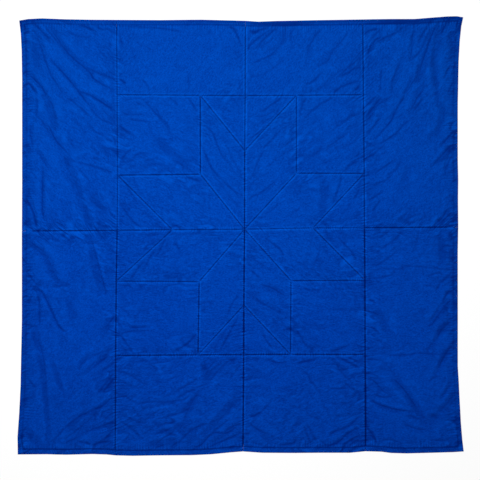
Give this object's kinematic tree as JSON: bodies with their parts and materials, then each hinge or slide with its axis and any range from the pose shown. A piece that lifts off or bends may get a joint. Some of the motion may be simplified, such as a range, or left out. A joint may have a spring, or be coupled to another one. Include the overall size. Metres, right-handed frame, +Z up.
{
  "type": "star quilt blanket",
  "caption": "Square pieced cotton quilt blanket lying flat, its eight-pointed star of diamonds drawn by seams, with plain borders and a turned hem.",
  "frame": {"origin": "middle of the underside's bounding box, on the surface that the blanket lies on", "axes": "+Z up, out of the face with the star; +Y towards the head end, the top of the picture; +X to the right of someone who reads the star from above"},
  "size_m": [2.046, 2.016, 0.0105],
  "materials": {
    "star_cotton": "matte dyed cotton, soft and lightly puckered",
    "field_cotton": "matte dyed cotton, soft and lightly puckered"
  },
  "bodies": {
    "root": {"point_top_left": "star_cotton", "point_top_right": "star_cotton", "point_right_top": "star_cotton", "point_right_bottom": "star_cotton", "point_bottom_right": "star_cotton", "point_bottom_left": "star_cotton", "point_left_bottom": "star_cotton", "point_left_top": "star_cotton", "triangle_top_left": "field_cotton", "triangle_top_right": "field_cotton", "triangle_right_top": "field_cotton", "triangle_right_bottom": "field_cotton", "triangle_bottom_right": "field_cotton", "triangle_bottom_left": "field_cotton", "triangle_left_bottom": "field_cotton", "triangle_left_top": "field_cotton", "square_top_left": "field_cotton", "square_top_right": "field_cotton", "square_bottom_left": "field_cotton", "square_bottom_right": "field_cotton", "end_top_left": "field_cotton", "end_top_right": "field_cotton", "end_bottom_left": "field_cotton", "end_bottom_right": "field_cotton", "side_left_top": "field_cotton", "side_left_bottom": "field_cotton", "side_right_top": "field_cotton", "side_right_bottom": "field_cotton"}
  },
  "joints": []
}
